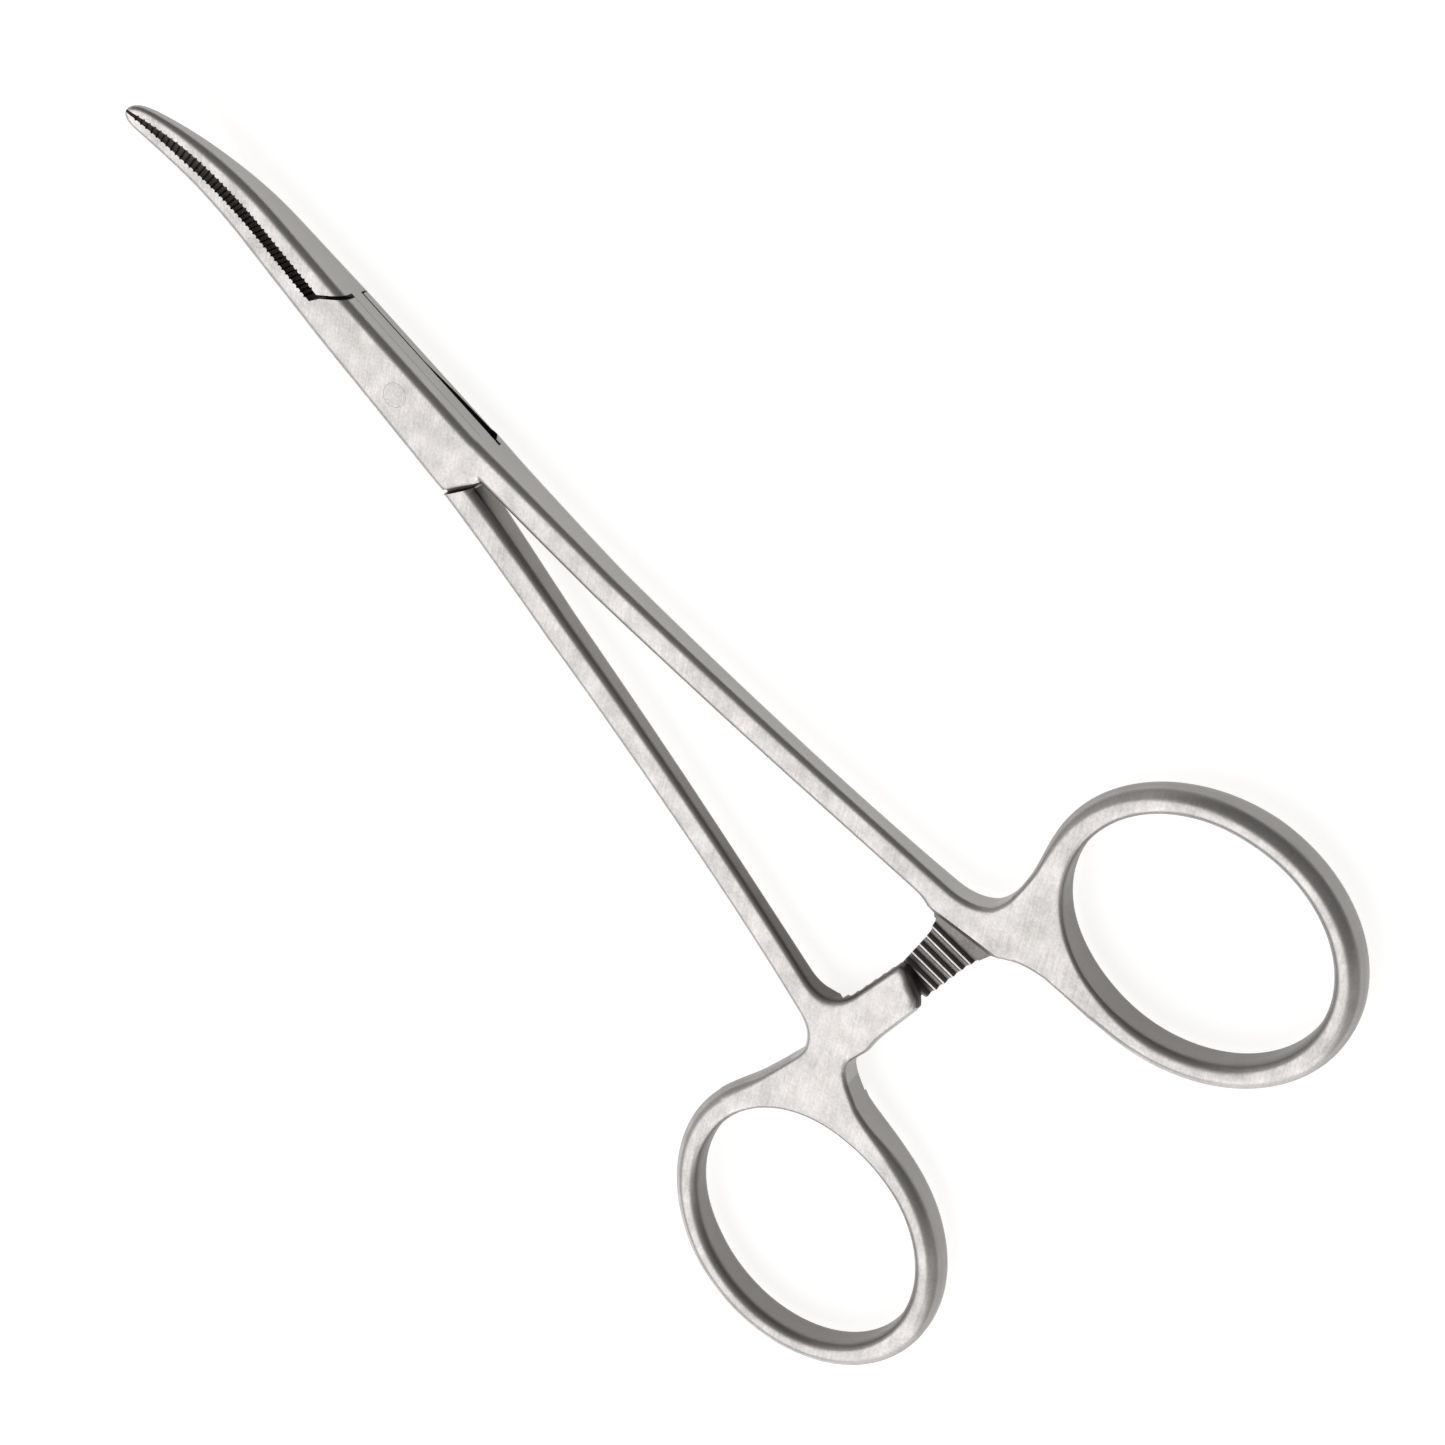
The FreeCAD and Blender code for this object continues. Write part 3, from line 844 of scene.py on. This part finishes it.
class Nodes:
    """Short way to write a material's node tree."""

    def __init__(self, name):
        self.material = bpy.data.materials.new(name)
        self.material.use_nodes = True
        self.tree = self.material.node_tree
        self.shader = self.tree.nodes["Principled BSDF"]

    def add(self, kind, **settings):
        node = self.tree.nodes.new(kind)
        for key, value in settings.items():
            setattr(node, key, value)
        return node

    def link(self, output, socket):
        self.tree.links.new(output, socket)

    def math(self, operation, a, b=0.0, clamp=False):
        node = self.add("ShaderNodeMath", operation=operation, use_clamp=clamp)
        for socket, value in zip(node.inputs, (a, b)):
            if isinstance(value, (int, float)):
                socket.default_value = value
            else:
                self.link(value, socket)
        return node.outputs[0]

    def place(self, turn=0.0, stretch=(1, 1, 1)):
        """Object coordinates in millimetres, turned about Z and then scaled."""
        coordinate = self.add("ShaderNodeTexCoord").outputs["Object"]
        turned = self.add("ShaderNodeMapping")
        turned.inputs["Rotation"].default_value = (0, 0, turn)
        scaled = self.add("ShaderNodeMapping")
        scaled.inputs["Scale"].default_value = tuple(s / MM for s in stretch)
        self.link(coordinate, turned.inputs["Vector"])
        self.link(turned.outputs[0], scaled.inputs["Vector"])
        return scaled.outputs[0]

    def noise(self, vector, scale, detail=2.0, roughness=0.5):
        node = self.add("ShaderNodeTexNoise")
        node.inputs["Scale"].default_value = scale
        node.inputs["Detail"].default_value = detail
        node.inputs["Roughness"].default_value = roughness
        self.link(vector, node.inputs["Vector"])
        return node.outputs["Fac"]

    def remap(self, value, low, high, to_low, to_high):
        node = self.add("ShaderNodeMapRange")
        self.link(value, node.inputs["Value"])
        names = ("From Min", "From Max", "To Min", "To Max")
        for name, number in zip(names, (low, high, to_low, to_high)):
            node.inputs[name].default_value = number
        return node.outputs["Result"]

    def mix(self, factor, a, b):
        node = self.add("ShaderNodeMix", data_type="RGBA")
        sockets = (node.inputs["Factor"], node.inputs[6], node.inputs[7])
        for socket, value in zip(sockets, (factor, a, b)):
            if isinstance(value, tuple):
                socket.default_value = value + (1,) * (4 - len(value))
            elif isinstance(value, (int, float)):
                socket.default_value = value
            else:
                self.link(value, socket)
        return node.outputs[2]

    def sides(self):
        """1 on upright faces, 0 on level ones: the weight of the painted shade on the
        sides.
        """
        normal = self.add("ShaderNodeNewGeometry").outputs["Normal"]
        parts = self.add("ShaderNodeSeparateXYZ")
        self.link(normal, parts.inputs[0])
        level = self.math("ABSOLUTE", parts.outputs["Z"])
        node = self.add("ShaderNodeMapRange", interpolation_type="SMOOTHSTEP")
        self.link(level, node.inputs["Value"])
        node.inputs["From Min"].default_value = 0.92
        node.inputs["From Max"].default_value = 0.30
        return node.outputs["Result"]

    def attribute(self, name):
        return self.add("ShaderNodeAttribute", attribute_name=name).outputs["Fac"]


# dark brown mixed in by the mask: a duller cut finish on cut faces, painted shade on
# walls and in gaps
CUT_AND_SHADE_COLOUR = (0.040, 0.030, 0.028)


def steel(name, bright, dull, side_shade_colour, rough_low, rough_high):
    """Satin stainless steel: grain, cross brushing, blotches and smoother edges, with
    painted shade on upright faces and on the masked dark faces.
    """
    n = Nodes(name)
    grain = n.noise(n.place(), 4.0, 3.0, 0.6)
    blotch = n.noise(n.place(), 0.45, 3.0)
    brushed = n.noise(n.place(math.radians(58), (0.35, 7.0, 2.0)), 1.0, 3.0, 0.6)
    fine = n.noise(n.place(math.radians(8), (0.5, 9.0, 9.0)), 1.0, 2.0)
    edge = n.attribute("edge")
    cut_and_painted_shade = n.attribute("cut_and_painted_shade")
    brushed_tone = n.remap(brushed, 0.3, 0.7, -0.2, 0.2)
    grain_tone = n.remap(grain, 0.25, 0.75, -0.3, 0.3)
    tone = n.math("ADD", brushed_tone, grain_tone)
    tone = n.math("ADD", tone, n.remap(blotch, 0.3, 0.7, -0.3, 0.3))
    tone = n.math("ADD", tone, 0.5, clamp=True)
    colour = n.mix(tone, dull, bright)
    # painted shade: upright faces get a darker colour than the level tops
    colour = n.mix(n.sides(), colour, side_shade_colour)
    # masked faces darkened: partly a duller cut finish, partly painted shade
    colour = n.mix(cut_and_painted_shade, colour, CUT_AND_SHADE_COLOUR)
    n.link(colour, n.shader.inputs["Base Color"])
    rough = n.remap(tone, 0.0, 1.0, rough_high, rough_low)
    rough = n.math("SUBTRACT", rough, n.math("MULTIPLY", edge, 0.06))
    rough = n.math("ADD", rough, n.math("MULTIPLY", cut_and_painted_shade, 0.15), clamp=True)
    n.link(rough, n.shader.inputs["Roughness"])
    n.shader.inputs["Metallic"].default_value = 1.0
    grain_height = n.math("MULTIPLY", grain, 0.6)
    height = n.math("ADD", grain_height, n.math("MULTIPLY", brushed, 0.8))
    height = n.math("ADD", height, n.math("MULTIPLY", fine, 0.4))
    bump = n.add("ShaderNodeBump")
    bump.inputs["Strength"].default_value = 0.35
    bump.inputs["Distance"].default_value = 0.012 * MM
    n.link(height, bump.inputs["Height"])
    n.link(bump.outputs[0], n.shader.inputs["Normal"])
    return n.material


def paper_floor(name):
    """White paper that glows a little, so that it stays white in the picture."""
    n = Nodes(name)
    grain = n.noise(n.place(), 0.15, 4.0)
    colour = n.mix(grain, (0.48, 0.48, 0.48), (0.52, 0.52, 0.52))
    n.link(colour, n.shader.inputs["Base Color"])
    n.shader.inputs["Roughness"].default_value = 0.85
    n.shader.inputs["Emission Color"].default_value = (1, 0.995, 0.985, 1)
    n.shader.inputs["Emission Strength"].default_value = 0.78
    return n.material


def dress(piece, body, slot, material, *nodes):
    """Gives a piece its material, its body and the CAD nodes it replaces. The slot
    argument is not used.
    """
    mesh = piece.data
    mesh.materials.clear()
    mesh.materials.append(material)
    mesh.shade_smooth()
    mesh.set_sharp_from_angle(angle=math.radians(32))
    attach(piece, body)
    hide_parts(*nodes)


# --- Stage ---------------------------------------------------------------

FLOOR_HALF = 6.0              # metres
MIDDLE = (30 * MM, 0, 0)      # of the instrument, where the lights point
CAMERA_PLACE = (44.91, 162.93, 239.46)
CAMERA_RIGHT = (0.6499, 0.6224, -0.4362)
CAMERA_BACK = (0.0197, 0.5600, 0.8283)
CAMERA_LENS = 84.19


def rectangle(name, half_x, half_y):
    """Flat object about its own origin, sizes in metres."""
    mesh = bpy.data.meshes.new(name)
    signs = ((-1, -1), (1, -1), (1, 1), (-1, 1))
    corners = [(half_x * sign_x, half_y * sign_y, 0) for sign_x, sign_y in signs]
    mesh.from_pydata(corners, [], [(0, 1, 2, 3)])
    made = bpy.data.objects.new(name, mesh)
    bpy.context.scene.collection.objects.link(made)
    return made


def floor():
    made = rectangle("floor", FLOOR_HALF, FLOOR_HALF)
    made.data.materials.append(paper_floor("floor_paper"))


def aim(thing, place, target):
    """Puts a light or card at a place, facing the target."""
    thing.location = place
    direction = Vector(target) - Vector(place)
    thing.rotation_euler = direction.to_track_quat("-Z", "Y").to_euler()


def softbox(name, place, target, size, radiance):
    light = bpy.data.lights.new(name, "AREA")
    light.shape = "RECTANGLE"
    light.size, light.size_y = size
    light.energy = radiance * math.pi * size[0] * size[1]
    made = bpy.data.objects.new(name, light)
    bpy.context.scene.collection.objects.link(made)
    aim(made, place, target)


def black_card(name, place, target, size):
    """Dark card on the camera's side: only reflections see it."""
    made = rectangle(name, size[0] / 2, size[1] / 2)
    aim(made, place, target)
    n = Nodes(name)
    n.shader.inputs["Base Color"].default_value = (0.16, 0.16, 0.16, 1)
    n.shader.inputs["Roughness"].default_value = 1.0
    n.shader.inputs["Specular IOR Level"].default_value = 0.0
    made.data.materials.append(n.material)
    made.visible_camera = False
    made.visible_diffuse = False
    made.visible_shadow = False


def camera():
    """The photograph's camera: it looks down at the top from the +Y side."""
    right = Vector(CAMERA_RIGHT).normalized()
    back = Vector(CAMERA_BACK).normalized()
    up = back.cross(right).normalized()
    right = up.cross(back)
    data = bpy.data.cameras.new("camera")
    data.lens = CAMERA_LENS
    data.sensor_width = 36.0
    data.clip_start = 0.01
    data.clip_end = 20.0
    made = bpy.data.objects.new("camera", data)
    bpy.context.scene.collection.objects.link(made)
    turn = Matrix((right, up, back)).transposed().to_4x4()
    made.matrix_world = Matrix.Translation(Vector(CAMERA_PLACE) * MM) @ turn
    bpy.context.scene.camera = made


def world():
    made = bpy.data.worlds.new("world")
    made.use_nodes = True
    background = made.node_tree.nodes["Background"]
    background.inputs["Color"].default_value = (1.0, 0.99, 0.975, 1)
    background.inputs["Strength"].default_value = 0.40
    bpy.context.scene.world = made


# --- Everything ----------------------------------------------------------

camera()
world()
floor()
softbox("key", (0.0, -0.66, 0.85), MIDDLE, size=(1.3, 0.95), radiance=0.98)
softbox("side", (0.95, -0.75, 0.55), MIDDLE, size=(0.9, 0.9), radiance=1.0)
black_card("card", (0.03, 0.53, 0.50), MIDDLE, size=(1.7, 1.25))

SATIN = steel(
    "satin_steel", bright=(0.75, 0.72, 0.705), dull=(0.51, 0.49, 0.475),
    side_shade_colour=(0.37, 0.36, 0.35), rough_low=0.30, rough_high=0.42)
PIN_STEEL = steel(
    "pin_steel", bright=(0.74, 0.71, 0.695), dull=(0.50, 0.48, 0.465),
    side_shade_colour=(0.45, 0.44, 0.43), rough_low=0.30, rough_high=0.44)
write_masks(pieces["box_half"], BOX_SIDE)
write_masks(pieces["tenon_half"], TENON_SIDE)
dress(pieces["box_half"], "box_body", "satin_steel", SATIN, "box_half")
dress(pieces["tenon_half"], "tenon_body", "satin_steel", SATIN, "tenon_half")
dress(pieces["pivot_pin"], "box_body", "pin_steel", PIN_STEEL, "pivot_pin")

bpy.context.scene.view_settings.view_transform = "Standard"
bpy.context.scene.view_settings.look = "None"
